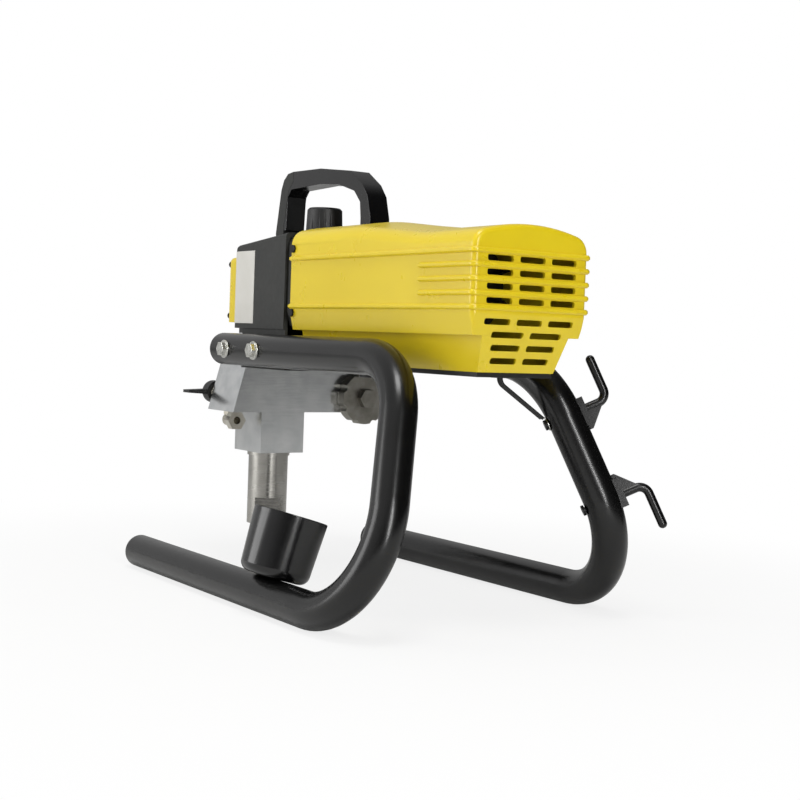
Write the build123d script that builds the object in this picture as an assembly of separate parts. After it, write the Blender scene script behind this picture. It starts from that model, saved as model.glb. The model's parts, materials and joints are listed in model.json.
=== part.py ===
from build123d import *
from math import atan2, cos, degrees, pi, radians, sin, sqrt, tan
import os

# Airless paint sprayer on a tubular skid stand.
# Millimetres, +Z up. The pump and the gear housing are at the front (-Y), the vented motor shroud is at
# the rear (+Y). The origin is on the floor, under the centre of the whole machine.

# ---------------------------------------------------------------- driving dimensions
run_gap = 0.05        # radial clearance of a running fit
seat_gap = 0.2        # clearance of a bolted or seated joint

# stand: two bent tubes, mirror images, splayed outwards
tube_d = 32.0
tube_wall = 2.5
arm_height = 225.5    # axis of the upper arms above the floor
arm_half_gap = 74.0   # axis of an upper arm from the centre plane
foot_half_gap = 142.0
arm_front = -158.0
foot_front = -198.0
upright_mid_y = 205.0
upright_lean = 0.37   # rearward travel per millimetre of drop
leg_bend_r = 75.0
plug_dome = 3.0
leg_bolt_d = 8.0
leg_bolt_ys = (-125.0, -64.5)

# cord hooks on the left leg
hook_rod_d = 8.0
hook_reach = 41.0     # rod axis from the tube axis
hook_length = 38.0
hook_turn = 35.0      # degrees from straight outwards towards the rear
hook_heights = {"upper_hook": 178.0, "lower_hook": 104.5}
hook_screw_d = 5.0

# bonding lead from the belly pan to the upper hook's screw
lead_strand_d = 3.0
lead_start = (-30.0, 164.0, 214.5)
lead_clip_thick = 0.8

# drip cup
cup_d = 66.0          # at the mouth
cup_depth = 56.5
cup_draft = 2.6       # degrees per side
cup_wall = 2.5
cup_round = 9.0
cup_y = 71.0
cup_tilt = 17.0       # degrees, the mouth leaning in over the machine

# drive axis and gear housing
drive_z = 290.0
split_y = -50.0       # joint between the gear housing and the shroud
housing_front = -172.0
housing_half = 60.0
housing_floor = 247.0
housing_top_rear = 342.0
housing_top_front = 331.0
housing_wall = 5.0
housing_corner = 12.0
pad_bottom = 207.0
pad_front = -150.0
nose_half = 28.0
nose_front = -214.0
nose_bottom = 242.0
nose_top = 252.5
hub_d = 46.0
hub_rear = -104.0

# gears: two stages, the crank on the motor's axis again
pinion_teeth, wheel_teeth, first_module = 10, 50, 1.0
second_pinion_teeth, crank_teeth, second_module = 10, 38, 1.25
layshaft_x = 22.0
layshaft_d = 8.0
backlash = 0.22

# crank and slider
crank_throw = 12.5
crank_pin_d = 12.0
crank_shaft_d = 17.0
bearing_od = 35.0
bearing_w = 10.0
pin_end_gap = 0.6     # the crank pin stops this far short of the yoke
pump_y = -191.0
rod_d = 16.0
yoke_depth = 16.6
crank_disc = 5.0      # thickness of the crank's web

# front cover
cover_half = 47.0
cover_front = -212.0
cover_bottom = 253.0
cover_top = 321.0
cover_wall = 3.0

# fluid section
block_half_y = 29.0
block_left = -120.0
outlet_z = 176.0
block_right = 59.0
block_slope = 0.27    # the right end leans in by this much per millimetre of height
arm_bottom = 160.0
arm_top = 232.0
stem_half_x = 25.7
stem_bottom = 117.0
cylinder_od = 32.0
cylinder_id = 26.0
inlet_od = 42.0
inlet_bottom = 40.0
ball_d = 14.0
inlet_bore = 22.0
flats_turn = 63.0     # degrees, the spanner flats round the cylinder
filter_x = -94.0
filter_z = 176.0
cap_d = 56.0
prime_x = 46.0
prime_z = 178.0
prime_hub_d = 24.0
prime_lever_length = 33.0
return_x = 47.0
outlet_thread_d = 13.3

# shroud
shroud_half = 60.0
shroud_wall = 3.0
shroud_rear = 239.0
ledge_z = 247.0
roof_z = 348.5        # crown over the motor, falling between drop_ys to the rear's crown
roof_rear_z = 338.5
roof_crown = 9.5      # rise of the roof over the shoulders
roof_drop_ys = (60.0, 160.0)
shoulder_r = 15.0
tuck_z = 264.0        # below this the shroud leans in
tuck_side = 4.0
tuck_rear = 4.5
skirt_top_half = 45.5
skirt_bottom_half = 40.0
skirt_bottom = 217.0
skirt_rear_top = 234.0
skirt_rear_bottom = 222.5
bead_lowest = 267.0
bead_pitch = 11.35
bead_height = 4.6
bead_proud = 2.5
bead_count = 5
logo_field_rear = 165.0
slot_size = (26.5, 5.0)
slot_pitch = 33.3
slot_round = 1.8
pan_thick = 4.0

# motor
can_od = 92.0
can_wall = 4.0
can_front = -46.0
can_rear = 120.0
armature_d = 58.0
rotor_shaft_d = 10.0
fan_d = 90.0

# handle, knob and label
handle_half = 11.0
grip_foot_y = (-7.0, 10.0)
knob_y = -91.0
knob_d = 37.0
knob_top = 370.0
knob_bottom = 344.0
label_thick = 0.4

# screws, switch and gland
boss_d = 44.0         # threaded boss that carries the pump
shroud_screw_zs = (263.0, 324.0)
shroud_screw_d = 4.0
switch_at = (-60.0, 0.0, 296.0)
rocker_pin_d = 2.5
gland_at = (0.0, 5.0)

centre_x, centre_y = 2.3, 2.8   # middle of the whole machine, cup and hooks included

# ---------------------------------------------------------------- derived sizes
tube_r = tube_d / 2
tube_bore = tube_d - 2 * tube_wall
pad_half = arm_half_gap - tube_r - seat_gap
crank_pin_z = drive_z - crank_throw          # the pump rests at the bottom of its stroke
gear_centre = first_module * (pinion_teeth + wheel_teeth) / 2
layshaft_z = drive_z - sqrt(gear_centre ** 2 - layshaft_x ** 2)
yoke_rear = pump_y + yoke_depth / 2
adapter_front = split_y - 12.0
adapter_rear = split_y + 8.0
shroud_screw_y = split_y + 4.0
pot_top = knob_bottom - 14
board_z = skirt_bottom + 4.5
right_top = block_right - block_slope * (arm_top - arm_bottom)


# ---------------------------------------------------------------- shape helpers
def box(x0, x1, y0, y1, z0, z1):
    return Pos((x0 + x1) / 2, (y0 + y1) / 2, (z0 + z1) / 2) * Box(x1 - x0, y1 - y0, z1 - z0)


def bar_x(y, z, x0, x1, d):
    return Pos((x0 + x1) / 2, y, z) * Rot(0, 90, 0) * Cylinder(d / 2, abs(x1 - x0))


def bar_y(x, z, y0, y1, d):
    return Pos(x, (y0 + y1) / 2, z) * Rot(90, 0, 0) * Cylinder(d / 2, abs(y1 - y0))


def bar_z(x, y, z0, z1, d):
    return Pos(x, y, (z0 + z1) / 2) * Cylinder(d / 2, abs(z1 - z0))


def ring_y(x, z, y0, y1, od, bore):
    return bar_y(x, z, y0, y1, od) - bar_y(x, z, y0, y1, bore)


def ring_z(x, y, z0, z1, od, bore):
    return bar_z(x, y, z0, z1, od) - bar_z(x, y, z0, z1, bore)


def prism_y(sketch, y0, y1):
    """Extrude a sketch drawn as (x, z) from y0 back to y1."""
    face = Plane(origin=(0, y1, 0), x_dir=(1, 0, 0), z_dir=(0, -1, 0)) * sketch
    return extrude(face, amount=y1 - y0)


def prism_x(sketch, x0, x1):
    """Extrude a sketch drawn as (y, z) from x0 to x1."""
    face = Plane(origin=(x0, 0, 0), x_dir=(0, 1, 0), z_dir=(1, 0, 0)) * sketch
    return extrude(face, amount=x1 - x0)


def prism_z(sketch, z0, z1):
    return extrude(Pos(0, 0, z0) * sketch, amount=z1 - z0)


def hexagon(flats, hole=0.0):
    shape = RegularPolygon(flats / 2, 6, major_radius=False)
    return shape - Circle(hole / 2) if hole else shape


def turned_z(x, y, profile):
    """Turn a half profile of (radius, z) points about a vertical axis."""
    face = Plane(origin=(x, y, 0), x_dir=(1, 0, 0), z_dir=(0, -1, 0)) * make_face(Polyline(*profile, close=True))
    return revolve(face, Axis((x, y, 0), (0, 0, 1)))


def turned_y(x, z, profile):
    """Turn a half profile of (radius, y) points about an axis along Y."""
    face = Plane(origin=(x, 0, z), x_dir=(1, 0, 0), z_dir=(0, 0, 1)) * make_face(Polyline(*profile, close=True))
    return revolve(face, Axis((x, 0, z), (0, 1, 0)))


def solids(*pieces):
    """Separate solids that share one node."""
    parts = []
    for piece in pieces:
        parts += piece.solids()
    return Compound(children=parts)


# ---------------------------------------------------------------- stand
def leg_points(side):
    half_drop = (arm_height - tube_r) / 2
    return [
        (side * arm_half_gap, arm_front, arm_height),
        (side * arm_half_gap, upright_mid_y - upright_lean * half_drop, arm_height),
        (side * foot_half_gap, upright_mid_y + upright_lean * half_drop, tube_r),
        (side * foot_half_gap, foot_front, tube_r),
    ]


def leg_sweep(side, diameter):
    path = FilletPolyline(*leg_points(side), radius=leg_bend_r)
    return sweep(Plane(origin=path @ 0, z_dir=path % 0) * Circle(diameter / 2), path=path)


def upright_plane(side, height, turn):
    """Local frame on an upright's axis: x points outwards and then turns to the rear, z runs up the tube."""
    top, bottom = leg_points(side)[1], leg_points(side)[2]
    up = Vector(*top) - Vector(*bottom)
    origin = Vector(*bottom) + up * ((height - bottom[2]) / (top[2] - bottom[2]))
    up = up.normalized()
    out = Vector(side * cos(radians(turn)), sin(radians(turn)), 0)
    out = (out - up * out.dot(up)).normalized()
    return Plane(origin=origin, x_dir=out, z_dir=up)


def cup_frame():
    """On the right foot's surface, z along the cup's axis."""
    lean = radians(cup_tilt)
    x = foot_half_gap - (tube_r + seat_gap) * sin(lean)
    z = tube_r + (tube_r + seat_gap) * cos(lean)
    return Pos(x, cup_y, z) * Rot(0, -cup_tilt, 0)


def stand():
    nodes = {}
    for side, name in ((-1, "left_leg"), (1, "right_leg")):
        leg = leg_sweep(side, tube_d) - leg_sweep(side, tube_bore)
        for y in leg_bolt_ys:
            arm = side * arm_half_gap
            leg -= bar_x(y, arm_height, arm - tube_d, arm + tube_d, leg_bolt_d + 2 * run_gap)
        nodes[name] = leg
    for name, height in hook_heights.items():
        place = upright_plane(-1, height, hook_turn)
        nodes["left_leg"] -= place * Rot(0, 90, 0) * Cylinder(hook_screw_d / 2 + run_gap, tube_d + 4)
    drill = cup_frame() * Cylinder(hook_screw_d / 2 + run_gap, 2 * tube_wall + 6)
    nodes["right_leg"] -= drill

    plugs = []
    for side in (-1, 1):
        for x, z, y in ((arm_half_gap, arm_height, arm_front), (foot_half_gap, tube_r, foot_front)):
            stem = tube_bore / 2 - run_gap
            profile = [(0, y + 14), (0, y - plug_dome), (tube_r * 0.72, y - plug_dome * 0.85),
                       (tube_r - 0.6, y - 0.8), (tube_r - 0.3, y), (stem, y), (stem, y + 14)]
            plugs.append(turned_y(side * x, z, profile))
    nodes["tube_end_plugs"] = solids(*plugs)

    bolts = []
    head_base = arm_half_gap + tube_r
    for side in (-1, 1):
        for y in leg_bolt_ys:
            shank = bar_x(y, arm_height, side * (pad_half - 16), side * head_base, leg_bolt_d)
            flange = bar_x(y, arm_height, side * head_base, side * (head_base + 1.6), 18)
            cap = Plane(origin=(side * (head_base + 1.6), y, arm_height), x_dir=(0, 1, 0), z_dir=(side, 0, 0))
            bolts.append(shank + flange + extrude(cap * hexagon(13), amount=4.5))
    nodes["leg_bolts"] = solids(*bolts)

    nodes.update(hooks())
    nodes.update(cup())
    nodes.update(lead())
    return nodes


def hooks():
    nodes, screws = {}, []
    envelope = leg_sweep(-1, tube_d + 2 * run_gap)
    rod_r = hook_rod_d / 2
    for name, height in hook_heights.items():
        way = 1 if name == "upper_hook" else -1
        place = upright_plane(-1, height, hook_turn)
        path = FilletPolyline((tube_r - 3, 0, 0), (hook_reach, 0, 0), (hook_reach, 0, way * hook_length), radius=9)
        rod = sweep(Plane(origin=path @ 0, z_dir=path % 0) * Circle(rod_r), path=path)
        rod += Pos(*(path @ 1)) * Sphere(rod_r)
        low, high = sorted((-way * 15.0, way * 11.0))
        saddle = box(tube_r * 0.45, tube_r + 4, -7, 7, low, high)
        web = make_face(Polyline((tube_r, 0), (hook_reach - 4, 0), (tube_r + 3, -way * 19), (tube_r, -way * 19),
                                 close=True))
        gusset = Plane(origin=(0, 3, 0), x_dir=(1, 0, 0), z_dir=(0, -1, 0)) * web
        hook = saddle + extrude(gusset, amount=6) + rod
        hook -= Rot(0, 90, 0) * Cylinder(hook_screw_d / 2, 2 * (tube_r + 12))
        nodes[name] = (place * hook - envelope).solids().sort_by(SortBy.VOLUME)[-1]
        under_head = -tube_r - (lead_clip_thick + 0.5 if name == "upper_hook" else 1.0)
        shank = bar_x(0, 0, under_head, tube_r + 11, hook_screw_d)
        screws.append(place * (shank + bar_x(0, 0, under_head - 2.4, under_head, hook_screw_d * 1.9)))
    shank = Pos(0, 0, (cup_wall - 8) / 2) * Cylinder(hook_screw_d / 2, cup_wall + 8)
    head = Pos(0, 0, cup_wall + 1.4) * Cylinder(hook_screw_d * 0.95, 2.8)
    screws.append(cup_frame() * (shank + head))
    nodes["stand_screws"] = solids(*screws)
    return nodes


def cup():
    place = cup_frame()
    floor = cup_wall
    mouth_r, rise = cup_d / 2, tan(radians(cup_draft))
    outside = Pos(0, 0, cup_depth / 2) * Cone(mouth_r - rise * cup_depth, mouth_r, cup_depth)
    outside = fillet(outside.edges().group_by(Axis.Z)[0], cup_round)
    low_r, high_r = mouth_r - rise * (cup_depth - floor) - cup_wall, mouth_r + rise * floor - cup_wall
    inside = Pos(0, 0, floor + cup_depth / 2) * Cone(low_r, high_r, cup_depth)
    inside = fillet(inside.edges().group_by(Axis.Z)[0], cup_round - cup_wall)
    shell = outside - inside - Cylinder(hook_screw_d / 2 + run_gap, 4 * floor)
    return {"drip_cup": place * shell}


def lead():
    """Two-strand bonding lead from the belly pan's grommet to a clip under the upper hook's screw."""
    place = upright_plane(-1, hook_heights["upper_hook"], hook_turn)
    clip_near, clip_far = -tube_r - 0.3, -tube_r - 0.3 - lead_clip_thick
    eye_d = hook_screw_d * 2.4
    clip = bar_x(0, 0, clip_far, clip_near, eye_d) + box(clip_far, clip_near, -3, 3, 0, eye_d / 2 + 1)
    clip -= bar_x(0, 0, clip_far - 1, clip_near + 1, hook_screw_d + 2 * run_gap)
    end = place.from_local_coords(Vector(clip_far - lead_strand_d / 2 - 0.6, 0, eye_d / 2 + 1))
    start = Vector(*lead_start)
    strands = []
    for shift in (-lead_strand_d / 2 - 0.1, lead_strand_d / 2 + 0.1):
        aside = Vector(0, shift, 0)
        apart = Vector(0, shift * 1.1, 0)
        points = [start + apart, start + apart + Vector(0, 0, -8), end + aside]
        path = FilletPolyline(*points, radius=9)
        strands.append(sweep(Plane(origin=path @ 0, z_dir=path % 0) * Circle(lead_strand_d / 2), path=path))
    return {"lead_clip": place * clip, "bonding_lead": solids(*strands)}


# ---------------------------------------------------------------- housing, cover, shroud, pan
def housing_profile(inset=0.0):
    """Side outline of the housing as (y, z): the top falls towards the front."""
    slope = (housing_top_rear - housing_top_front) / (split_y - housing_front)
    front, rear = housing_front + inset, split_y - 12 + (inset and 8)
    top_front = housing_top_front + slope * inset - inset
    top_rear = housing_top_front + slope * (rear - housing_front) - inset
    return make_face(Polyline((front, housing_floor), (front, top_front), (rear, top_rear), (rear, housing_floor),
                              close=True))


def housing_plan(half, inset, rear):
    outline = make_face(Polyline((-half, housing_front + inset), (half, housing_front + inset), (half, rear),
                                 (-half, rear), close=True))
    return fillet(outline.vertices().group_by(Axis.Y)[0], housing_corner - inset)


def gear_housing():
    outer = prism_x(housing_profile(), -housing_half, housing_half)
    outer &= prism_z(housing_plan(housing_half, 0, adapter_front), housing_floor, housing_top_rear + 5)
    top_edges = outer.faces().filter_by(lambda f: f.normal_at().Z > 0.9)[0].edges()
    outer = fillet(top_edges.filter_by(lambda e: e.center().Y < adapter_front - 1), 5)
    pad = box(-pad_half, pad_half, pad_front, adapter_front, pad_bottom, housing_floor)
    nose = box(-nose_half, nose_half, nose_front, housing_front + 3, nose_bottom, nose_top)
    strap = make_face(Polyline((-162, 322.5), (-171, 347), (-162, 392), (-157, 402), (-149, 408), (-138, 409.5),
                               (-138, 400), (-147, 390), (-155, 356), (-155, 322.5), close=True))
    web_front = pump_y + block_half_y + seat_gap
    nose_web = box(-nose_half, nose_half, web_front, pad_front + 4, nose_bottom - 30, housing_floor + 1)
    body = outer + pad + nose + nose_web + prism_x(strap, -handle_half, handle_half)

    wall = housing_wall
    cavity = prism_x(housing_profile(wall), -housing_half + wall, housing_half - wall)
    cavity &= box(-housing_half, housing_half, housing_front + 15, adapter_front, housing_floor + wall, 400)
    sump = box(-housing_half + wall, housing_half - wall, pad_front + 8, adapter_front, layshaft_z - 32,
               housing_floor + wall + 1)
    hub = bar_y(0, drive_z, housing_front + 1, hub_rear, hub_d)
    lay_boss = bar_y(layshaft_x, layshaft_z, housing_front + 1, hub_rear + 4, layshaft_d * 2)
    pot_boss = bar_z(0, knob_y, pot_top + 0.1, housing_top_rear + 0.6, 20)
    body = body - cavity - sump + hub + lay_boss + pot_boss
    for front, rear in crank_bearing_spans():
        first = front < hub_rear - 2 * bearing_w
        body -= bar_y(0, drive_z, front - (2 if first else 0), rear + (0 if first else 2), bearing_od)
    body -= bar_y(0, drive_z, housing_front - 1, hub_rear + 1, bearing_od - 8)
    body -= bar_y(layshaft_x, layshaft_z, hub_rear - 8, hub_rear + 10, layshaft_d)
    body -= bar_z(0, knob_y, 300, 400, 10 + 2 * run_gap)
    body -= bar_z(0, pump_y, nose_bottom - 1, nose_top + 1, boss_d + 2 * run_gap)
    for side in (-1, 1):
        for y in leg_bolt_ys:
            body -= bar_x(y, arm_height, side * (pad_half - 17), side * (pad_half + 2), leg_bolt_d)
    for x, z in cover_screw_places():
        body -= bar_y(x, z, housing_front - 1, housing_front + 11, 4)
    return body


def crank_bearing_spans():
    front = housing_front + 1
    return ((front, front + bearing_w), (hub_rear - bearing_w - 1, hub_rear - 1))


def cover_screw_places():
    return [(side * (cover_half - 6), z) for side in (-1, 1) for z in (cover_bottom + 7, cover_top - 7)]


def front_cover():
    def plan(half, front, corner):
        outline = make_face(Polyline((-half, front), (half, front), (half, housing_front - seat_gap),
                                     (-half, housing_front - seat_gap), close=True))
        return fillet(outline.vertices().group_by(Axis.Y)[0], corner)

    outer = prism_z(plan(cover_half, cover_front, 14), cover_bottom, cover_top)
    outer = fillet(outer.faces().sort_by(Axis.Z)[-1].edges().filter_by(lambda e: e.center().Y < housing_front - 1), 5)
    wall = cover_wall
    inner = prism_z(plan(cover_half - wall, cover_front + wall, 14 - wall), cover_bottom - 1, cover_top - wall)
    posts = None
    for x, z in cover_screw_places():
        post = bar_y(x, z, cover_front + 2, housing_front - seat_gap, 10) & outer
        posts = post if posts is None else posts + post
    cover = outer - inner + posts
    screws = []
    for x, z in cover_screw_places():
        seat = cover_front + 4
        cover -= bar_y(x, z, cover_front - 1, seat, 8)
        cover -= bar_y(x, z, seat - 1, housing_front, 4 + 2 * run_gap)
        screws.append(bar_y(x, z, seat, housing_front + 10, 4) + bar_y(x, z, seat - 2.6, seat, 7))
    return {"front_cover": cover, "front_cover_screws": solids(*screws)}


def shroud_section(inset, crown_z=roof_z):
    """Cross-section of the shroud's upper body as (x, z): tucked-in foot, round shoulders, crowned roof."""
    half, low = shroud_half - inset, ledge_z + inset
    edge, top = crown_z - roof_crown - inset, crown_z - inset
    foot = half - tuck_side
    sides = Polyline((-half, edge), (-half, tuck_z), (-foot, low), (foot, low), (half, tuck_z), (half, edge))
    roof = ThreePointArc((half, edge), (0, top), (-half, edge))
    face = make_face([*sides.edges(), *roof.edges()])
    corners = face.vertices().filter_by(lambda v: abs(v.Y - edge) < 0.01)
    return fillet(corners, shoulder_r - inset)


def section_at(inset, crown_z, y):
    """The section as a face standing across the machine at y."""
    return Plane(origin=(0, y, 0), x_dir=(1, 0, 0), z_dir=(0, -1, 0)) * shroud_section(inset, crown_z)


def shroud_body(inset, front, rear):
    """The shroud's upper body: level over the motor, then falling, then level again; the rear leans in below."""
    drop, flat = roof_drop_ys
    middle = (drop + flat) / 2
    crowns = [(drop, roof_z), (middle, (roof_z + roof_rear_z) / 2 - 0.4), (flat, roof_rear_z)]
    body = prism_y(shroud_section(inset, roof_z), front, drop)
    for (y0, z0), (y1, z1) in zip(crowns, crowns[1:]):
        body += loft([section_at(inset, z0, y0), section_at(inset, z1, y1)], ruled=True)
    end = prism_y(shroud_section(inset, roof_rear_z), flat, rear)
    wedge = make_face(Polyline((rear, tuck_z), (rear + 10, tuck_z), (rear + 10, ledge_z - 9),
                               (rear - tuck_rear, ledge_z - 9), (rear - tuck_rear, ledge_z), close=True))
    if not inset:
        end = fillet(end.faces().sort_by(Axis.Y)[-1].edges(), 5)
    return body + end - prism_x(wedge, -shroud_half - 1, shroud_half + 1)


def skirt(inset, z_low, z_high):
    def rect(half, rear, z):
        half, rear, front = half - inset, rear - inset, split_y - (inset and 5)
        outline = Pos(0, (front + rear) / 2, z) * Rectangle(2 * half, rear - front)
        return outline

    def at(low, high, z):
        return low + (high - low) * (z - skirt_bottom) / (ledge_z - skirt_bottom)

    pair = [rect(at(skirt_bottom_half, skirt_top_half, z), at(skirt_rear_bottom, skirt_rear_top, z), z)
            for z in (z_low, z_high)]
    return loft(Sketch() + pair)


def bead(low, front):
    """One raised bead along both sides and round the rear."""
    half, rear = shroud_half + bead_proud, shroud_rear + bead_proud
    outline = make_face(Polyline((-half, front), (half, front), (half, rear), (-half, rear), close=True))
    outline = fillet(outline.vertices().group_by(Axis.Y)[-1], 6)
    band = prism_z(outline, low, low + bead_height)
    band = chamfer(band.faces().filter_by(Axis.Z).edges(), 1.3)
    return band - box(-shroud_half + 1, shroud_half - 1, front - 1, shroud_rear - 1, low - 1, low + bead_height + 1)


def vent_slots():
    """Slots through the rear wall: three across between the beads, two across in the skirt."""
    cuts = []
    long, high = slot_size
    upper_rows = [bead_lowest + i * bead_pitch - 3.3 for i in range(1, bead_count)] + [bead_lowest - 8.8]
    for z in upper_rows:
        for x in (-slot_pitch, 0, slot_pitch):
            cuts.append(prism_y(Pos(x, z) * RectangleRounded(long, high, slot_round), shroud_rear - 8, shroud_rear + 8))
    for row in range(3):
        z = ledge_z + 0.8 - 10.65 * row
        width = 33 - 3 * row
        for side in (-1, 1):
            shape = Pos(side * (width / 2 + 3.5), z) * RectangleRounded(width, high, slot_round)
            cuts.append(prism_y(shape, skirt_rear_bottom - 12, shroud_rear + 8))
    return cuts


def motor_shroud():
    shell = shroud_body(0, split_y, shroud_rear) + skirt(0, skirt_bottom, ledge_z + 1)
    for i in range(bead_count):
        front = split_y if i in (0, bead_count - 1) else logo_field_rear
        shell += bead(bead_lowest + i * bead_pitch, front)
    shell -= shroud_body(shroud_wall, split_y - 1, shroud_rear - shroud_wall)
    shell -= skirt(2.5, skirt_bottom - 1, ledge_z + shroud_wall + 1)
    for cut in vent_slots():
        shell -= cut
    for side in (-1, 1):
        for z in shroud_screw_zs:
            shell += bar_x(shroud_screw_y, z, side * (shroud_half - 1.5), side * shroud_half, 7.9)
            shell -= bar_x(shroud_screw_y, z, side * 50, side * 70, shroud_screw_d + 2 * run_gap)
    shell -= bar_z(0, sum(grip_foot_y) / 2, roof_z - 20, roof_z + 5, 5 + 2 * run_gap)
    x, y, z = switch_at
    shell -= box(-shroud_half - 3, -shroud_half + 10, y - 10, y + 10, z - 7, z + 7)
    return shell.solids().sort_by(SortBy.VOLUME)[-1]


def adapter():
    """Plate that closes the gear housing, carries the motor and takes the shroud's screws."""
    inset = shroud_wall + seat_gap
    plate = prism_y(shroud_section(inset), adapter_front + seat_gap, adapter_rear)
    plate = plate & box(-100, 100, -100, 100, ledge_z, housing_top_rear - 6)
    plate -= bar_y(0, drive_z, split_y, adapter_rear + 1, can_od + 0.6)
    plate -= bar_y(0, drive_z, adapter_front - 1, adapter_rear + 1, 22)
    plate -= bar_y(layshaft_x, layshaft_z, adapter_front - 1, adapter_front + 6, layshaft_d)
    for side in (-1, 1):
        for z in shroud_screw_zs:
            plate -= bar_x(shroud_screw_y, z, side * 47, side * 60, shroud_screw_d)
    return plate


def shroud_screws():
    screws = []
    for side in (-1, 1):
        for z in shroud_screw_zs:
            face = side * shroud_half
            shank = bar_x(shroud_screw_y, z, side * 48, face, shroud_screw_d)
            screws.append(shank + bar_x(shroud_screw_y, z, face, side * (shroud_half + 2.2), 7.5))
    return {"shroud_screws": solids(*screws)}


def belly_pan():
    half = skirt_bottom_half - 0.5
    bottom = skirt_bottom - pan_thick
    pan = box(-half, half, split_y + 1, skirt_rear_bottom - 1, bottom, skirt_bottom)
    pan -= box(-half + 3, half - 3, split_y + 4, skirt_rear_bottom - 4, skirt_bottom - 1.5, skirt_bottom + 1)
    for x in (-26, 26):
        for y in (45, 145):
            pan += bar_z(x, y, skirt_bottom - 2, board_z, 6)
    x, y, _ = lead_start
    pan += turned_z(x, y, [(0, bottom + 1), (9, bottom + 1), (9, bottom - 1), (8, bottom - 2), (0, bottom - 2)])
    twin = lead_strand_d + 0.2
    spread = twin + 0.4
    pan -= box(x - 2, x + 2, y - spread, y + spread, bottom - 9, skirt_bottom + 1)
    pan -= bar_z(*gland_at, bottom - 1, skirt_bottom + 1, 16 + 2 * run_gap)
    return {"belly_pan": pan}


def gear_profile(module, teeth, phase, shrink=0.0):
    """Involute gear outline, thinned by the backlash. phase turns the first tooth, in degrees."""
    pressure = radians(20)
    pitch_r = module * teeth / 2
    base_r = pitch_r * cos(pressure)
    tip_r = pitch_r + 0.95 * module - shrink
    root_r = pitch_r - 1.3 * module
    start_r = max(base_r, root_r + 0.05)

    def involute(r):
        angle = sqrt(max((r / base_r) ** 2 - 1, 0))
        return angle - atan2(angle, 1)

    half_pitch = (pi * module / 2 - backlash) / (2 * pitch_r) + involute(pitch_r)
    radii = [start_r + (tip_r - start_r) * k / 3 for k in range(4)]
    points = []
    for tooth in range(teeth):
        middle = radians(phase) + 2 * pi * tooth / teeth
        flank = [(r, half_pitch - involute(r)) for r in radii]
        side = [(root_r, half_pitch)] + flank
        points += [(r * cos(middle - a), r * sin(middle - a)) for r, a in side]
        points += [(r * cos(middle + a), r * sin(middle + a)) for r, a in reversed(side)]
    return make_face(Polyline(*points, close=True))


def gear(module, teeth, x, z, y0, y1, phase):
    return prism_y(Pos(x, z) * gear_profile(module, teeth, phase), y0, y1)


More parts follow.
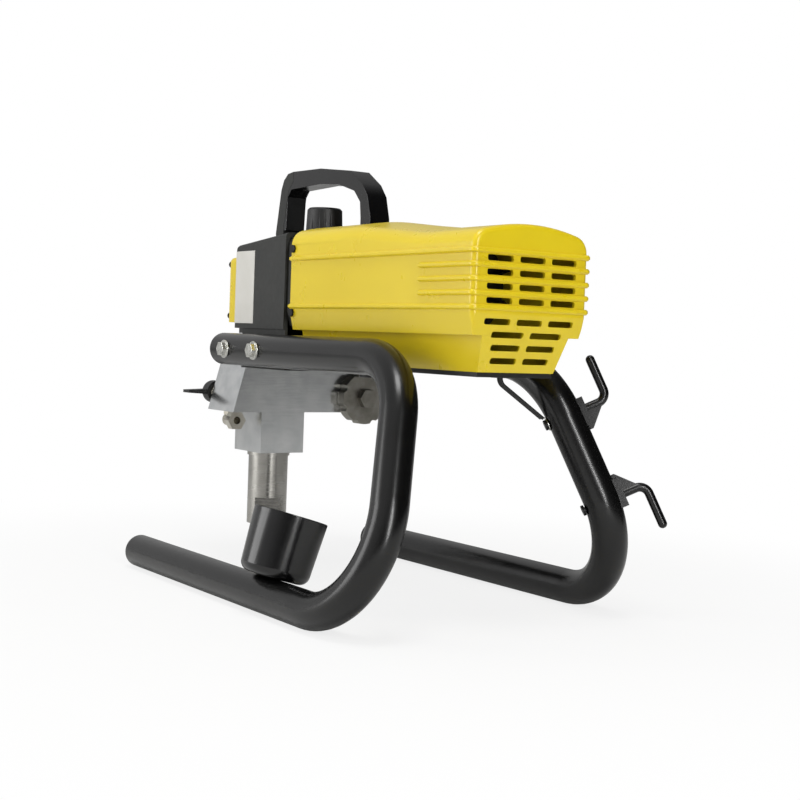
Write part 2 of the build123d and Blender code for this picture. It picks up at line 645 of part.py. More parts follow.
def drive():
    """Motor, two-stage gear train, crank and slider yoke."""
    n = {}
    centre_angle = degrees(atan2(layshaft_z - drive_z, layshaft_x))
    stage1 = (adapter_front - 15, adapter_front - 4)
    stage2 = (stage1[0] - 19, stage1[0] - 4)
    tooth = 360 / wheel_teeth

    can = ring_y(0, drive_z, can_front, can_rear, can_od, can_od - 2 * can_wall)
    n["motor_can"] = can
    n["motor_front_plate"] = (bar_y(0, drive_z, split_y + 0.2, can_front, can_od)
                              + bar_y(0, drive_z, can_front, can_front + 10, can_od - 2 * can_wall - 0.4)
                              - bar_y(0, drive_z, split_y - 1, can_front + 11, 26)
                              - bar_y(0, drive_z, can_front + 4, can_front + 11, can_od - 2 * can_wall - 8))
    bell = (bar_y(0, drive_z, can_rear, can_rear + 16, can_od)
            + bar_y(0, drive_z, can_rear - 8, can_rear, can_od - 2 * can_wall - 0.4)
            - bar_y(0, drive_z, can_rear - 9, can_rear + 10, can_od - 2 * can_wall - 8)
            - bar_y(0, drive_z, can_rear, can_rear + 17, 26))
    for k in range(6):
        bell -= Pos(0, 0, drive_z) * Rot(0, 60 * k, 0) * bar_y(0, 28, can_rear + 8, can_rear + 18, 11)
    magnets = ring_y(0, drive_z, can_front + 14, can_rear - 30, can_od - 2 * can_wall - 0.1, armature_d + 4)
    gap = box(-60, 60, can_front, can_rear, drive_z - 12, drive_z + 12)
    n["field_magnets"] = solids(magnets - gap)
    shaft = bar_y(0, drive_z, stage1[1] + 1, can_rear + 46, rotor_shaft_d)
    shaft += gear(first_module, pinion_teeth, 0, drive_z, stage1[0] - 0.5, stage1[1] + 1, centre_angle)
    n["rotor_shaft"] = shaft
    n["armature"] = ring_y(0, drive_z, can_front + 20, can_rear - 36, armature_d, rotor_shaft_d)
    n["commutator"] = ring_y(0, drive_z, can_rear - 30, can_rear - 12, 30, rotor_shaft_d)
    fan_front = can_rear + 22
    fan = ring_y(0, drive_z, fan_front, fan_front + 3, fan_d, rotor_shaft_d)
    fan += ring_y(0, drive_z, fan_front, fan_front + 16, 24, rotor_shaft_d)
    for k in range(9):
        blade = box(11, fan_d / 2 - 1, fan_front + 2, fan_front + 16, -0.9, 0.9)
        fan += Pos(0, 0, drive_z) * Rot(0, 40 * k, 0) * blade
    n["cooling_fan"] = fan
    front_bearing = ring_y(0, drive_z, split_y + 1, split_y + 9, 26, rotor_shaft_d + 2 * run_gap)
    rear_bearing = ring_y(0, drive_z, can_rear + 4, can_rear + 12, 26, rotor_shaft_d + 2 * run_gap)
    n["motor_bearings"] = solids(front_bearing, rear_bearing)
    brushes = []
    for side in (-1, 1):
        brushes.append(box(*sorted((side * 15.3, side * 30)), can_rear - 25, can_rear - 17, drive_z - 4, drive_z + 4))
        holder = box(*sorted((side * 22, side * (can_od / 2 - can_wall - 4.5))), can_rear - 28, can_rear - 8,
                     drive_z - 7, drive_z + 7)
        holder -= box(*sorted((side * 21, side * 30.0)), can_rear - 25, can_rear - 17, drive_z - 4, drive_z + 4)
        bell += holder
    n["brushes"], n["motor_end_bell"] = solids(*brushes), bell

    wheel_phase = centre_angle + 180 + tooth / 2
    wheel = gear(first_module, wheel_teeth, layshaft_x, layshaft_z, *stage1, wheel_phase)
    wheel += gear(second_module, second_pinion_teeth, layshaft_x, layshaft_z, stage2[0], stage1[0] + 1,
                  centre_angle + 180)
    wheel -= bar_y(layshaft_x, layshaft_z, -200, 0, layshaft_d + 2 * run_gap)
    n["intermediate_gear"] = wheel
    n["intermediate_shaft"] = bar_y(layshaft_x, layshaft_z, hub_rear - 8, adapter_front + 6, layshaft_d)
    crank_phase = centre_angle + 180 / crank_teeth
    disc_front = housing_front - 1.5
    crank = gear(second_module, crank_teeth, 0, drive_z, stage2[0] + 1, stage2[1] - 1, crank_phase)
    crank += bar_y(0, drive_z, disc_front, stage2[1] + 1, crank_shaft_d)
    crank += bar_y(0, drive_z, disc_front - crank_disc, disc_front, 46)
    crank += bar_y(0, crank_pin_z, yoke_rear + pin_end_gap, disc_front, crank_pin_d)
    n["crankshaft"] = crank
    n["crank_bearings"] = solids(*[ring_y(0, drive_z, a, b, bearing_od, crank_shaft_d + 2 * run_gap)
                                   for a, b in crank_bearing_spans()])
    bar = box(-26, 26, pump_y - yoke_depth / 2, yoke_rear, crank_pin_z - 9, crank_pin_z + 9)
    slot = box(-crank_throw - 6.4, crank_throw + 6.4, yoke_rear - 7, yoke_rear + 1,
               crank_pin_z - 6.2, crank_pin_z + 6.2)
    boss = bar_z(0, pump_y, crank_pin_z - 19, crank_pin_z - 8, 24)
    boss &= box(-26, 26, pump_y - 12, yoke_rear, crank_pin_z - 19, crank_pin_z - 8)
    yoke = bar - slot + boss
    yoke -= bar_z(0, pump_y, crank_pin_z - 20, crank_pin_z - 7, rod_d)
    n["slider_yoke"] = yoke
    return n


def fluid():
    """Pump block, displacement pump, valves and filter."""
    n = {}
    front, rear = pump_y - block_half_y, pump_y + block_half_y
    face = make_face(Polyline((block_left, arm_bottom), (-stem_half_x, arm_bottom), (-stem_half_x, stem_bottom),
                              (stem_half_x, stem_bottom), (stem_half_x, arm_bottom), (block_right, arm_bottom),
                              (right_top, arm_top), (block_left, arm_top), close=True))
    block = prism_y(face, front, rear)
    block += bar_z(0, pump_y, arm_top, nose_top - 1, boss_d)
    block -= bar_z(0, pump_y, stem_bottom - 1, 165, cylinder_od + 2 * run_gap)
    block -= bar_z(0, pump_y, 160, 196, cylinder_id)
    block -= bar_z(0, pump_y, 190, 210, rod_d + 1)
    block -= bar_z(0, pump_y, 202, nose_top + 1, 30)
    chamber_y = rear - 46
    block -= bar_y(filter_x, filter_z, chamber_y, rear + 1, 30)
    block -= bar_x(pump_y, 182, filter_x, 0, 7)
    block -= bar_x(pump_y, outlet_z, block_left - 1, filter_x - 6, 12)
    block -= bar_x(pump_y, 182, 0, prime_x, 5)
    block -= bar_y(prime_x, prime_z, front - 1, front + 30, 10)
    block -= bar_y(-20, 190, front - 1, front + 16, 12)
    block -= bar_z(return_x, pump_y, arm_bottom - 1, arm_bottom + 16, 10)
    n["pump_block"] = block
    n["pump_jam_nut"] = prism_z(Pos(0, pump_y) * hexagon(54, boss_d), arm_top + 0.1, nose_bottom - 0.1)
    n["packing_nut"] = (bar_z(0, pump_y, 228, nose_top + 1, 30)
                        + prism_z(Pos(0, pump_y) * hexagon(30), nose_top, nose_top + 4)
                        - bar_z(0, pump_y, 220, 270, rod_d + 2 * run_gap))
    rings = [ring_z(0, pump_y, 202 + 5.2 * k, 202 + 5.2 * k + 5, 30, rod_d + 2 * run_gap) for k in range(5)]
    n["upper_packings"] = solids(*rings)
    head_low, head_high = 104.0, 134.0
    rod = bar_z(0, pump_y, head_high - 2, crank_pin_z - 7, rod_d)
    rod += bar_z(0, pump_y, head_low, head_high, cylinder_id - 4)
    rod -= bar_z(0, pump_y, head_low - 1, head_low + 5, 9)
    rod -= bar_z(0, pump_y, head_low + 5, head_low + 17, 13)
    rod -= bar_x(pump_y, head_low + 24, -30, 30, 6)
    rod -= bar_z(0, pump_y, head_low + 16, head_low + 24, 6)
    n["piston_rod"] = rod
    seals = [ring_z(0, pump_y, head_low + 6 + 5.2 * k, head_low + 11 + 5.2 * k, cylinder_id - 2 * run_gap,
                    cylinder_id - 4) for k in range(3)]
    n["piston_seals"] = solids(*seals)
    small_r = 5.5
    seat_drop = sqrt(small_r ** 2 - 4.5 ** 2)
    n["outlet_ball"] = Pos(0, pump_y, head_low + 5 + seat_drop + 0.1) * Sphere(small_r)
    sleeve_low = 76.0
    n["cylinder_sleeve"] = ring_z(0, pump_y, sleeve_low, 164.8, cylinder_od, cylinder_id)
    base = inlet_bottom
    housing = bar_z(0, pump_y, base, stem_bottom - 0.2, inlet_od)
    housing -= bar_z(0, pump_y, base - 1, base + 20, inlet_bore)
    housing -= bar_z(0, pump_y, base + 12, sleeve_low, 26)
    housing -= bar_z(0, pump_y, sleeve_low, stem_bottom + 1, cylinder_od + 2 * run_gap)
    for side in (-1, 1):
        flat = box(*sorted((side * 16.3, side * 30)), -30, 30, base + 10, base + 28)
        housing -= Pos(0, pump_y, 0) * Rot(0, 0, flats_turn) * flat
    collar = ring_z(0, pump_y, stem_bottom - 4.2, stem_bottom - 0.2, inlet_od + 3, inlet_od - 2)
    n["inlet_housing"] = housing + collar
    n["inlet_seat"] = ring_z(0, pump_y, base + 12, base + 17, 26, 11)
    ball_r = ball_d / 2
    lift = 3.0
    ball_z = base + 17 + sqrt(ball_r ** 2 - 5.5 ** 2) + 0.1
    n["inlet_ball"] = Pos(0, pump_y, ball_z) * Sphere(ball_r)
    guide = ring_z(0, pump_y, base + 17, sleeve_low, 26, ball_d + 1.2)
    stop = box(-12, 12, pump_y - 2, pump_y + 2, ball_z + ball_r + lift + 0.3, sleeve_low - 1)
    n["ball_guide"] = guide + (stop & bar_z(0, pump_y, base, sleeve_low, 25))

    cap_front = rear + 0.1
    cap = bar_y(filter_x, filter_z, cap_front, cap_front + 14, cap_d)
    for k in range(8):
        scallop = bar_y(cap_d / 2 + 2.2, 0, cap_front - 1, cap_front + 16, 9)
        cap -= Pos(filter_x, 0, filter_z) * Rot(0, 45 * k + 22.5, 0) * scallop
    cap += ring_y(filter_x, filter_z, rear - 12, cap_front, 30 - 2 * run_gap, 22)
    cap += prism_y(Pos(filter_x, filter_z) * hexagon(19), cap_front + 14, cap_front + 21)
    cap -= bar_y(filter_x, filter_z, rear - 13, cap_front + 8, 12)
    n["filter_cap"] = cap
    n["filter_element"] = ring_y(filter_x, filter_z, chamber_y, rear - 12.2, 22, 14)
    hex_face = Plane(origin=(block_left - 7.1, pump_y, outlet_z), x_dir=(0, 1, 0), z_dir=(1, 0, 0))
    out = bar_x(pump_y, outlet_z, block_left - 0.2, block_left + 10, 12) + extrude(hex_face * hexagon(19), amount=7)
    out += bar_x(pump_y, outlet_z, block_left - 19, block_left - 7, outlet_thread_d)
    out -= bar_x(pump_y, outlet_z, block_left - 20, block_left + 11, 6)
    n["outlet_fitting"] = out

    body = bar_y(prime_x, prime_z, front, front + 24, 10)
    body += prism_y(Pos(prime_x, prime_z) * hexagon(17), front - 4, front)
    body -= bar_y(prime_x, prime_z, front - 5, front + 10, 6 + 2 * run_gap)
    n["prime_valve_body"] = body
    hub_front = front - 21.5
    stem = bar_y(prime_x, prime_z, front - 6, front + 9, 6)
    hub = bar_y(prime_x, prime_z, hub_front, front - 4.3, prime_hub_d)
    hub = fillet(hub.edges().group_by(Axis.Y)[0], 6)
    blade = make_face(Polyline((4, -3), (4, 3), (prime_lever_length, 1.6), (prime_lever_length, -1.4), close=True))
    hub += prism_y(Pos(prime_x, prime_z) * blade, hub_front + 1.5, front - 5.5)
    n["prime_lever"] = hub + stem
    ret = bar_z(return_x, pump_y, arm_bottom - 12, arm_bottom + 10, 10)
    ret += prism_z(Pos(return_x, pump_y) * hexagon(14), arm_bottom - 4, arm_bottom)
    ret += bar_y(return_x, arm_bottom - 9.5, pump_y - 6, pump_y + 6, 13)
    ret += prism_y(Pos(return_x, arm_bottom - 9.5) * hexagon(18), pump_y + 6, pump_y + 15)
    ret -= bar_y(return_x, arm_bottom - 9.5, pump_y, pump_y + 16, 8)
    ret -= bar_z(return_x, pump_y, arm_bottom - 9.5, arm_bottom + 11, 5)
    n["return_fitting"] = ret
    sensor = bar_y(-20, 190, front, front + 12, 12) + prism_y(Pos(-20, 190) * hexagon(19), front - 6, front)
    sensor += bar_y(-20, 190, front - 20, front - 6, 17)
    n["pressure_transducer"] = sensor
    return n


def controls():
    """Handle grip, knob, potentiometer, switch, board, glands and the blank label."""
    n = {}
    grip = make_face(Polyline((-154.8, 350), (-154.8, 356), (-146.8, 389.8), (-137.8, 399.8), (-137.8, 409.5),
                              (-84, 408.5), (-28, 402), (-6, 388), (4, 376), (10, 355), (10, roof_z + 0.1),
                              (-7, roof_z + 0.1), (-7, 355), (-9, 371), (-20, 382), (-48, 390), (-84, 393),
                              (-141, 391.5), (-148, 384), (-150, 350), close=True))
    shape = prism_x(grip, -handle_half, handle_half)
    rear_y = sum(grip_foot_y) / 2
    shape -= bar_z(0, rear_y, roof_z - 1, roof_z + 16, 4)
    n["handle_grip"] = shape
    rear_screw = bar_z(0, rear_y, roof_z - 6, roof_z + 14, 4)
    rear_screw += bar_z(0, rear_y, roof_z - 6, roof_z - shroud_wall - 0.1, 9)
    n["handle_screw"] = solids(rear_screw)

    base = knob_bottom
    profile = [(0, base - 10), (3, base - 10), (3, base + 2), (12, base + 2), (12, base), (knob_d / 2 - 1, base),
               (knob_d / 2, base + 2), (knob_d / 2 - 1, knob_top - 2), (knob_d / 2 - 3, knob_top), (0, knob_top)]
    knob = turned_z(0, knob_y, profile)
    for k in range(18):
        knob -= Pos(0, knob_y, 0) * Rot(0, 0, 20 * k) * bar_z(knob_d / 2 + 1.2, 0, base - 1, knob_top - 6, 4)
    n["pressure_knob"] = knob
    pot = bar_z(0, knob_y, base - 24, base - 14, 24) + ring_z(0, knob_y, base - 14, base - 0.3, 10, 6 + 2 * run_gap)
    pot -= bar_z(0, knob_y, base - 10.3, base, 6 + 2 * run_gap)
    n["potentiometer"] = pot

    n["control_board"] = (box(-30, 30, 40, 150, board_z, board_z + 1.6)
                          + box(-28, -8, 50, 110, board_z + 1.6, board_z + 15)
                          + box(4, 26, 60, 78, board_z + 1.6, board_z + 14))
    x, y, z = switch_at
    n["switch_body"] = (box(x - 2, x, y - 11.5, y + 11.5, z - 8.5, z + 8.5)
                        + box(x, x + 12, y - 9.8, y + 9.8, z - 6.8, z + 6.8)
                        - box(x - 3, x + 8, y - 8.5, y + 8.5, z - 5, z + 5)
                        - bar_z(x - 0.4, y, z - 6.2, z + 6.2, rocker_pin_d + 2 * run_gap))
    rocker = make_face(Polyline((-7, -3.4), (-7, 1.5), (0, 0.4), (7, 4.2), (7, -1), (0, -4.4), close=True))
    face = Plane(origin=(x - 0.6, y, z - 4.8), x_dir=(0, 1, 0), z_dir=(0, 0, 1)) * rocker
    n["switch_rocker"] = extrude(face, amount=9.6) + bar_z(x - 0.4, y, z - 6, z + 6, rocker_pin_d)
    x, y = gland_at
    bottom = skirt_bottom - pan_thick
    gland = bar_z(x, y, bottom - 9, bottom - 0.1, 22) + bar_z(x, y, bottom - 1, skirt_bottom + 7, 16)
    n["mains_gland"] = gland - bar_z(x, y, bottom - 10, skirt_bottom + 8, 9)
    outer = prism_z(housing_plan(housing_half + label_thick, -label_thick, adapter_front), 252, 325)
    inner = prism_z(housing_plan(housing_half, 0, adapter_front), 250, 330)
    label = (outer - inner) & box(cover_half + 2, 70, housing_front - 8, -124, 250, 330)
    n["label_plate"] = label
    return n


def build():
    nodes = {}
    nodes.update(stand())
    nodes["gear_housing"] = gear_housing()
    nodes.update(front_cover())
    nodes["motor_adapter"] = adapter()
    nodes["motor_shroud"] = motor_shroud()
    nodes.update(shroud_screws())
    nodes.update(belly_pan())
    nodes.update(drive())
    nodes.update(fluid())
    nodes.update(controls())
    return nodes


def main():
    os.makedirs("parts", exist_ok=True)
    nodes = build()
    for name, shape in nodes.items():
        export_step(Pos(-centre_x, -centre_y, 0) * shape, f"parts/{name}.step")
    print(len(nodes), "nodes")


main()
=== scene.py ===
import json
from math import radians

import bmesh
import bpy
from mathutils import Matrix, Vector


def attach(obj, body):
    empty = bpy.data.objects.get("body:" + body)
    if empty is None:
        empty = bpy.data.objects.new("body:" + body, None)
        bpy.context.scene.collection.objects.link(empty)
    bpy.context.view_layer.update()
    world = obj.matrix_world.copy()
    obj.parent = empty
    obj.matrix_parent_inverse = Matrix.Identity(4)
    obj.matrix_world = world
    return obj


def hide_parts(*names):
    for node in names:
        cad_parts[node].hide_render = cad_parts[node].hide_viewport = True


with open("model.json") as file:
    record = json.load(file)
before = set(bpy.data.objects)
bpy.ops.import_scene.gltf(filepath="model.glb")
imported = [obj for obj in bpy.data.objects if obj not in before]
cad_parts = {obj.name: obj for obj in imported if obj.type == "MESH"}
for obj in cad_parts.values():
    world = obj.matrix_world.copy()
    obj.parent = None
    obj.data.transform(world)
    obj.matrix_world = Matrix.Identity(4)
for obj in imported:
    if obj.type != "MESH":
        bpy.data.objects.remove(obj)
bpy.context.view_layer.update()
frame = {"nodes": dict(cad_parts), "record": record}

MM = 0.001
WELD = 0.002 * MM            # loose corners nearer than this are one corner
FLAT = radians(0.5)          # faces that meet flatter than this are one face
SHARP = radians(38)          # edges that turn more than this stay crisp
CREASE = radians(24)         # edges that turn more than this get a rounded edge

FLOOR_HALF = 30              # metres
FADE_NEAR, FADE_FAR = 0.2, 0.75   # the floor's own shading fades out between these distances
TO_BRIGHT_SIDE = (0.62, -0.62, 0.48)
DARK_SIDE, BRIGHT_SIDE = 0.035, 1.0
ROOM_FILL = 0.62

CAMERA_PLACE = (0.7204, 1.1074, 0.2407)
CAMERA_HEADING, CAMERA_DIP, CAMERA_ROLL = 145.59, 2.48, 2.12   # degrees
CAMERA_LENS = 62.26
LIGHT_AIM = (0, 0, 0.2)

nodes = frame["nodes"]
body_of_node = {node: body for body, names in frame["record"]["behaviour"]["bodies"].items() for node in names}
slot_of_node = {part["node"]: part["material_slot"] for part in frame["record"]["subparts"]}


# ---------------------------------------------------------------- materials
def linear(hex_code):
    """Linear colour of an sRGB hex code."""
    channels = [int(hex_code[i:i + 2], 16) / 255 for i in (0, 2, 4)]
    return [c / 12.92 if c <= 0.04045 else ((c + 0.055) / 1.055) ** 2.4 for c in channels] + [1.0]


def add(tree, kind, settings=(), **sockets):
    """A new shader node: settings set its properties; sockets take values or other nodes' outputs.

    A socket is named as Blender names it, with _ for a space, or i0, i1 for its number.
    """
    node = tree.nodes.new("ShaderNode" + kind)
    for key, value in dict(settings).items():
        setattr(node, key, value)
    for key, value in sockets.items():
        socket = node.inputs[int(key[1:]) if key[0] == "i" and key[1:].isdigit() else key.replace("_", " ")]
        if isinstance(value, bpy.types.NodeSocket):
            tree.links.new(value, socket)
        else:
            socket.default_value = value
    return node


def finish(name, **sockets):
    """A new material with one Principled shader; returns the material, its tree and the shader."""
    material = bpy.data.materials.new(name)
    material.use_nodes = True
    tree = material.node_tree
    shader = tree.nodes["Principled BSDF"]
    for key, value in sockets.items():
        shader.inputs[key.replace("_", " ")].default_value = value
    return material, tree, shader


def mottle(tree, spacing, stretch=(1, 1, 1), detail=3.0):
    """Noise whose patches are spacing millimetres apart, drawn out along an axis where stretch is small."""
    place = add(tree, "TexCoord").outputs["Object"]
    place = add(tree, "Mapping", Vector=place, Scale=stretch).outputs["Vector"]
    return add(tree, "TexNoise", Vector=place, Scale=1 / (spacing * MM), Detail=detail).outputs["Fac"]


def tint(tree, shader, factor, stops):
    """Colours the shader by a ramp of (position, hex code) stops."""
    ramp = add(tree, "ValToRGB", Fac=factor)
    for index, (position, code) in enumerate(stops):
        stop = ramp.color_ramp.elements[index] if index < 2 else ramp.color_ramp.elements.new(position)
        stop.position, stop.color = position, linear(code)
    tree.links.new(ramp.outputs["Color"], shader.inputs["Base Color"])


def relief(tree, shader, height, depth, strength=1.0):
    """Raises and lowers the surface by the height pattern, depth millimetres in all."""
    bump = add(tree, "Bump", Height=height, Distance=depth * MM, Strength=strength)
    tree.links.new(bump.outputs["Normal"], shader.inputs["Normal"])


def vary_roughness(tree, shader, factor, low, high):
    spread = add(tree, "MapRange", Value=factor, To_Min=low, To_Max=high)
    tree.links.new(spread.outputs["Result"], shader.inputs["Roughness"])


def black_powder_coat():
    """Baked powder coat: satin black with orange peel about 2 mm across, softly uneven gloss."""
    material, tree, shader = finish("black_powder_coat", IOR=1.46, Coat_Weight=0.05, Coat_Roughness=0.25)
    cloud = mottle(tree, 26)
    tint(tree, shader, cloud, [(0.3, "070707"), (0.7, "0B0B0B")])
    vary_roughness(tree, shader, cloud, 0.2, 0.3)
    relief(tree, shader, mottle(tree, 2.2, detail=2), 0.03)
    return material


def yellow_abs():
    """Injection moulded ABS: saturated yellow, glossy, with a faint flow mottle and a slightly wavy skin."""
    material, tree, shader = finish("yellow_abs", IOR=1.54, Subsurface_Weight=0.02, Subsurface_Scale=0.002)
    flow = mottle(tree, 60, (1, 0.35, 1))
    tint(tree, shader, flow, [(0.25, "D8BE18"), (0.75, "E0C71E")])
    vary_roughness(tree, shader, mottle(tree, 18), 0.24, 0.34)
    relief(tree, shader, mottle(tree, 9, detail=1), 0.03)
    return material


def grey_casting_paint():
    """Textured paint on a die casting: dark warm grey, matte, with a fine pebbled grain drawn 1.4 mm coarse."""
    material, tree, shader = finish("grey_casting_paint", IOR=1.48)
    tint(tree, shader, mottle(tree, 30), [(0.25, "1C1D1B"), (0.75, "222320")])
    vary_roughness(tree, shader, mottle(tree, 6), 0.5, 0.66)
    relief(tree, shader, mottle(tree, 1.4, detail=4), 0.09)
    return material


def black_nylon():
    """Glass-filled nylon: near black, matte spark-eroded texture drawn 1.2 mm coarse."""
    material, tree, shader = finish("black_nylon", IOR=1.53)
    tint(tree, shader, mottle(tree, 14), [(0.3, "090909"), (0.7, "0E0E0F")])
    vary_roughness(tree, shader, mottle(tree, 5), 0.42, 0.58)
    relief(tree, shader, mottle(tree, 1.2, detail=4), 0.06)
    return material


def gloss_black_abs():
    """Polished black ABS: deep black with a wet gloss and slight sink waves."""
    material, tree, shader = finish("gloss_black_abs", IOR=1.5, Coat_Weight=0.1, Coat_Roughness=0.08)
    tint(tree, shader, mottle(tree, 20), [(0.3, "060607"), (0.7, "0A0A0B")])
    vary_roughness(tree, shader, mottle(tree, 12), 0.16, 0.28)
    relief(tree, shader, mottle(tree, 11, detail=1), 0.05)
    return material


def dull_black_pvc():
    """Lead insulation: soft PVC, satin and slightly rubbery."""
    material, tree, shader = finish("dull_black_pvc", IOR=1.53)
    tint(tree, shader, mottle(tree, 8), [(0.3, "101010"), (0.7, "181818")])
    vary_roughness(tree, shader, mottle(tree, 4), 0.4, 0.55)
    relief(tree, shader, mottle(tree, 2), 0.03)
    return material


def zinc_plate():
    """Bright zinc on steel bolts: silver with cloudy passivation."""
    material, tree, shader = finish("zinc_plate", Metallic=1.0)
    cloud = mottle(tree, 5)
    tint(tree, shader, cloud, [(0.3, "BDBDB6"), (0.7, "DCDCD8")])
    vary_roughness(tree, shader, cloud, 0.2, 0.36)
    relief(tree, shader, mottle(tree, 1.5), 0.03)
    return material


def black_oxide_steel():
    """Chemically blackened screws: dark, slightly oily metal."""
    material, tree, shader = finish("black_oxide_steel", Metallic=0.7)
    tint(tree, shader, mottle(tree, 4), [(0.3, "161616"), (0.7, "242424")])
    vary_roughness(tree, shader, mottle(tree, 3), 0.32, 0.48)
    relief(tree, shader, mottle(tree, 1.2), 0.02)
    return material


def milled_aluminium():
    """End-milled bar: light grey metal with cutter lines along the bar, drawn 1.6 mm apart."""
    material, tree, shader = finish("milled_aluminium", Metallic=1.0)
    lines = mottle(tree, 1.6, (0.05, 1, 1), detail=2)
    tint(tree, shader, mottle(tree, 16), [(0.3, "C6C8C9"), (0.7, "D9DADA")])
    vary_roughness(tree, shader, lines, 0.17, 0.27)
    relief(tree, shader, lines, 0.02)
    return material


def turned_stainless():
    """Lathe-turned stainless: fine rings round the upright axis, drawn 1.1 mm apart, over grey metal."""
    material, tree, shader = finish("turned_stainless", Metallic=1.0)
    rings = mottle(tree, 1.1, (0.03, 0.03, 1), detail=2)
    tint(tree, shader, mottle(tree, 20), [(0.3, "96948F"), (0.7, "ABA9A4")])
    vary_roughness(tree, shader, rings, 0.2, 0.32)
    relief(tree, shader, rings, 0.015)
    return material


def ground_steel():
    """Ground and hardened steel of shafts, gears and bearings: clean grey with grinding lines along Y."""
    material, tree, shader = finish("ground_steel", Metallic=1.0)
    lines = mottle(tree, 1.3, (1, 0.06, 1))
    tint(tree, shader, lines, [(0.3, "8F9092"), (0.7, "A6A7A8")])
    vary_roughness(tree, shader, lines, 0.22, 0.36)
    relief(tree, shader, lines, 0.015)
    return material


def cast_steel_cap():
    """Investment-cast filter cap, tumbled and nickel washed: dull silver with cast grain."""
    material, tree, shader = finish("cast_steel_cap", Metallic=1.0)
    grain = mottle(tree, 2.0)
    tint(tree, shader, mottle(tree, 12), [(0.3, "807D75"), (0.7, "9D9A92")])
    vary_roughness(tree, shader, grain, 0.3, 0.5)
    relief(tree, shader, grain, 0.08)
    return material


def bright_nickel():
    """Bright nickel plate over machined brass: warm mirror with slight haze."""
    material, tree, shader = finish("bright_nickel", Metallic=1.0)
    tint(tree, shader, mottle(tree, 6), [(0.3, "B5B0A4"), (0.7, "CFCBC0")])
    vary_roughness(tree, shader, mottle(tree, 3), 0.12, 0.24)
    relief(tree, shader, mottle(tree, 2.4), 0.02)
    return material


def blackened_iron():
    """Phosphated motor iron: blue-black, dull, faintly blotched."""
    material, tree, shader = finish("blackened_iron", Metallic=0.85)
    tint(tree, shader, mottle(tree, 9), [(0.3, "33353A"), (0.7, "494B50")])
    vary_roughness(tree, shader, mottle(tree, 3), 0.4, 0.6)
    relief(tree, shader, mottle(tree, 1.4), 0.05)
    return material


def turned_brass():
    """Turned brass and copper: warm metal, lightly tarnished."""
    material, tree, shader = finish("turned_brass", Metallic=1.0)
    tint(tree, shader, mottle(tree, 6), [(0.3, "B08A4A"), (0.7, "CBA45E")])
    vary_roughness(tree, shader, mottle(tree, 2), 0.2, 0.34)
    relief(tree, shader, mottle(tree, 1.2, (1, 0.1, 1)), 0.015)
    return material


def white_ptfe():
    """Packing rings and piston seals: waxy off-white polymer."""
    material, tree, shader = finish("white_ptfe", IOR=1.38, Subsurface_Weight=0.1, Subsurface_Scale=0.003)
    tint(tree, shader, mottle(tree, 10), [(0.3, "D6D1C4"), (0.7, "E4E0D6")])
    vary_roughness(tree, shader, mottle(tree, 5), 0.4, 0.55)
    relief(tree, shader, mottle(tree, 2), 0.03)
    return material


def green_board():
    """Solder-masked glass fibre board: dark green, satin, with the weave showing faintly."""
    material, tree, shader = finish("green_board", IOR=1.55)
    tint(tree, shader, mottle(tree, 3), [(0.3, "0F4A2A"), (0.7, "17603A")])
    vary_roughness(tree, shader, mottle(tree, 3), 0.28, 0.4)
    relief(tree, shader, mottle(tree, 1.5, (1, 0.3, 1)), 0.03)
    return material


def satin_label_film():
    """Blank vinyl film: one neutral off-white, satin, with slight ripples from being pressed on."""
    material, tree, shader = finish("satin_label_film", IOR=1.49)
    tint(tree, shader, mottle(tree, 25), [(0.3, "C9C7C0"), (0.7, "D0CEC8")])
    vary_roughness(tree, shader, mottle(tree, 8), 0.34, 0.46)
    relief(tree, shader, mottle(tree, 12, detail=1), 0.04)
    return material


finishes = {
    "coated_tube": black_powder_coat(), "black_moulding": black_nylon(), "gloss_black_moulding": gloss_black_abs(),
    "cast_housing": grey_casting_paint(), "yellow_moulding": yellow_abs(), "zinc_steel": zinc_plate(),
    "black_screws": black_oxide_steel(), "milled_aluminium": milled_aluminium(), "stainless": turned_stainless(),
    "chromed": bright_nickel(), "iron": blackened_iron(), "brass_and_copper": turned_brass(),
    "packing": white_ptfe(), "blank_label": satin_label_film(), "cable_rubber": dull_black_pvc(),
    "circuit_board": green_board(),
}
ground, cap_metal = ground_steel(), cast_steel_cap()
own_finish = {
    "filter_cap": cap_metal, "outlet_fitting": cap_metal, "prime_valve_body": finishes["chromed"],
    "pressure_transducer": ground, "rotor_shaft": ground, "crankshaft": ground, "intermediate_gear": ground,
    "intermediate_shaft": ground, "crank_bearings": ground, "motor_bearings": ground,
}


def finish_of(node):
    return own_finish.get(node, finishes[slot_of_node[node]])


# ---------------------------------------------------------------- pieces made from the frame's solids
def joined_copy(node):
    """The node's triangles welded into one skin, its flat areas made whole faces."""
    bm = bmesh.new()
    bm.from_mesh(nodes[node].data)
    bmesh.ops.remove_doubles(bm, verts=bm.verts, dist=WELD)
    bmesh.ops.dissolve_limit(bm, angle_limit=FLAT, verts=bm.verts, edges=bm.edges)
    return bm


def round_edges(bm, width, segments=2):
    """Rounds the creased edges, as every moulded, cast or machined edge is."""
    edges = [e for e in bm.edges if e.is_manifold and e.calc_face_angle() > CREASE]
    bmesh.ops.bevel(bm, geom=edges, offset=width * MM, offset_type="OFFSET", segments=segments, profile=0.5,
                    affect="EDGES", clamp_overlap=True, material=-1)


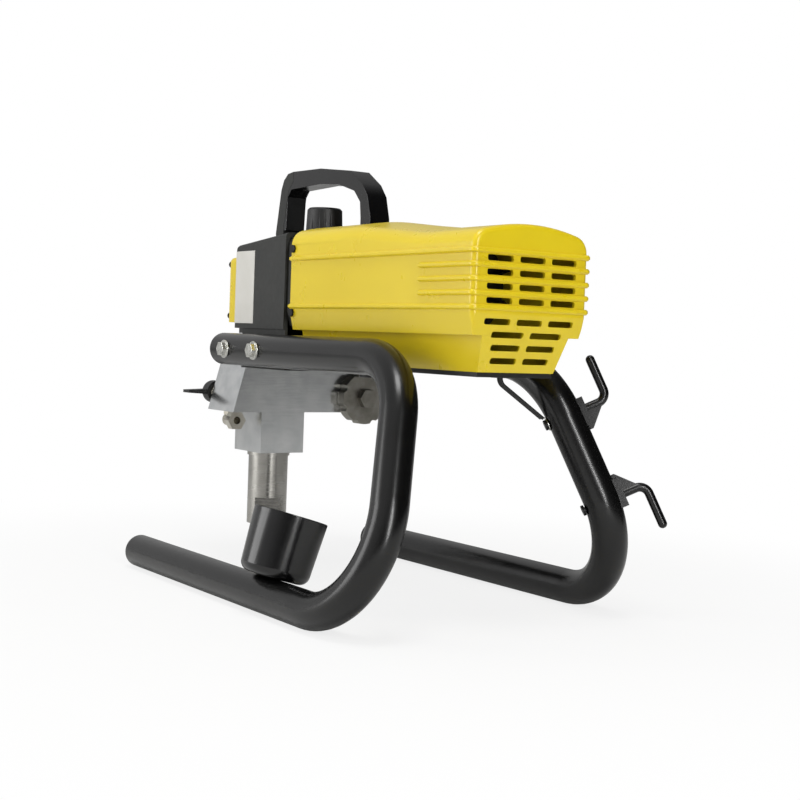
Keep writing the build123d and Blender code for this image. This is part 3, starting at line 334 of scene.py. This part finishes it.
def make_piece(name, bm, material, body, replaced=()):
    """Turns a bmesh into a shown piece: smooth where it curves, crisp at its edges, riding on its body."""
    for face in bm.faces:
        face.smooth = True
    for edge in bm.edges:
        edge.smooth = not edge.is_manifold or edge.calc_face_angle() < SHARP
    mesh = bpy.data.meshes.new(name)
    bm.to_mesh(mesh)
    bm.free()
    mesh.materials.append(material)
    piece = bpy.data.objects.new(name, mesh)
    bpy.context.scene.collection.objects.link(piece)
    even = piece.modifiers.new("even_shading", "WEIGHTED_NORMAL")
    even.keep_sharp = True
    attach(piece, body)
    if replaced:
        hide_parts(*replaced)
    return piece


def stand_in(node, bm):
    """A finished piece in the place of one of the frame's nodes."""
    return make_piece("finished_" + node, bm, finish_of(node), body_of_node[node], [node])


edge_radius = {               # millimetres
    "left_leg": 0, "right_leg": 0, "bonding_lead": 0, "tube_end_plugs": 0.3, "leg_bolts": 0.5,
    "upper_hook": 0.9, "lower_hook": 0.9, "stand_screws": 0.3, "drip_cup": 0.9, "lead_clip": 0.2,
    "gear_housing": 1.4, "front_cover": 1.0, "front_cover_screws": 0.3, "motor_shroud": 0.7,
    "shroud_screws": 0.5, "belly_pan": 0.8, "pump_block": 0.8, "pump_jam_nut": 0.5, "packing_nut": 0.4,
    "inlet_housing": 0.5, "filter_cap": 1.1, "outlet_fitting": 0.4, "prime_valve_body": 0.4,
    "prime_lever": 0.6, "return_fitting": 0.4, "pressure_transducer": 0.4, "handle_grip": 2.6,
    "pressure_knob": 0.7, "switch_body": 0.5, "switch_rocker": 0.7, "mains_gland": 0.8, "label_plate": 0.1,
}
for node, radius in edge_radius.items():
    bm = joined_copy(node)
    if radius:
        round_edges(bm, radius)
    stand_in(node, bm)

for node, obj in nodes.items():
    if node not in edge_radius:
        obj.data.materials.clear()
        obj.data.materials.append(finish_of(node))


# ---------------------------------------------------------------- studio
def studio_floor():
    """Seamless pale floor that fades into the white backdrop and keeps the machine's shadow."""
    bm = bmesh.new()
    bmesh.ops.create_grid(bm, x_segments=2, y_segments=2, size=FLOOR_HALF)
    mesh = bpy.data.meshes.new("studio_floor")
    bm.to_mesh(mesh)
    bm.free()
    material, tree, shader = finish("white_paper_floor", Roughness=0.9)
    tint(tree, shader, mottle(tree, 40), [(0.0, "F2F2F0"), (1.0, "F6F6F5")])
    seen = add(tree, "LightPath").outputs["Is Camera Ray"]
    white = add(tree, "Emission", Color=(1, 1, 1, 1), Strength=1.0)
    place = add(tree, "TexCoord").outputs["Object"]
    away = add(tree, "VectorMath", {"operation": "LENGTH"}, i0=place).outputs["Value"]
    fade = add(tree, "MapRange", {"interpolation_type": "SMOOTHSTEP"}, Value=away, From_Min=FADE_NEAR,
               From_Max=FADE_FAR,
               To_Min=0.8, To_Max=1.0).outputs["Result"]
    share = add(tree, "Math", {"operation": "MULTIPLY"}, i0=seen, i1=fade).outputs[0]
    mix = add(tree, "MixShader", i0=share, i1=shader.outputs[0], i2=white.outputs[0])
    tree.links.new(mix.outputs[0], tree.nodes["Material Output"].inputs["Surface"])
    mesh.materials.append(material)
    floor = bpy.data.objects.new("studio_floor", mesh)
    bpy.context.scene.collection.objects.link(floor)


def studio_world():
    """White to the eye; for reflections bright on the pump side and dim behind the hooks, as in a studio."""
    world = bpy.data.worlds.new("studio")
    bpy.context.scene.world = world
    world.use_nodes = True
    tree = world.node_tree
    tree.nodes.clear()
    ray = add(tree, "LightPath").outputs
    direction = add(tree, "TexCoord").outputs["Generated"]
    side = add(tree, "VectorMath", {"operation": "DOT_PRODUCT"}, i0=direction, i1=TO_BRIGHT_SIDE).outputs["Value"]
    room = add(tree, "MapRange", {"interpolation_type": "SMOOTHSTEP"}, Value=side, From_Min=-0.3, From_Max=0.7,
               To_Min=DARK_SIDE, To_Max=BRIGHT_SIDE).outputs["Result"]
    fill = add(tree, "Math", {"operation": "MULTIPLY"}, i0=room, i1=ROOM_FILL).outputs[0]
    strength = add(tree, "Math", {"operation": "MAXIMUM"}, i0=fill, i1=ray["Is Camera Ray"]).outputs[0]
    paper = add(tree, "Background", Color=(1, 1, 1, 1), Strength=strength)
    output = add(tree, "OutputWorld")
    tree.links.new(paper.outputs[0], output.inputs["Surface"])


def softbox(name, place, width, height, power):
    light = bpy.data.lights.new(name, "AREA")
    light.shape, light.size, light.size_y, light.energy = "RECTANGLE", width, height, power
    box = bpy.data.objects.new(name, light)
    box.location = place
    box.rotation_euler = (Vector(LIGHT_AIM) - Vector(place)).to_track_quat("-Z", "Y").to_euler()
    bpy.context.scene.collection.objects.link(box)


def camera():
    """Looks at the rear quarter from the height of the shroud's lower vents."""
    data = bpy.data.cameras.new("camera")
    data.lens, data.sensor_width = CAMERA_LENS, 36.0
    view = bpy.data.objects.new("camera", data)
    turn = Matrix.Rotation(radians(CAMERA_HEADING), 4, "Z") @ Matrix.Rotation(radians(90 - CAMERA_DIP), 4, "X")
    roll = Matrix.Rotation(radians(CAMERA_ROLL), 4, "Z")
    view.matrix_world = Matrix.Translation(CAMERA_PLACE) @ turn @ roll
    bpy.context.scene.collection.objects.link(view)
    bpy.context.scene.camera = view


studio_floor()
studio_world()
softbox("tall_softbox", (0.35, 1.8, 0.7), 0.14, 1.2, 16)
softbox("overhead", (0.3, 0.4, 1.6), 0.5, 0.5, 8)
softbox("pump_side", (1.5, -0.7, 0.5), 0.9, 0.9, 10)
camera()
bpy.context.scene.view_settings.view_transform = "Standard"
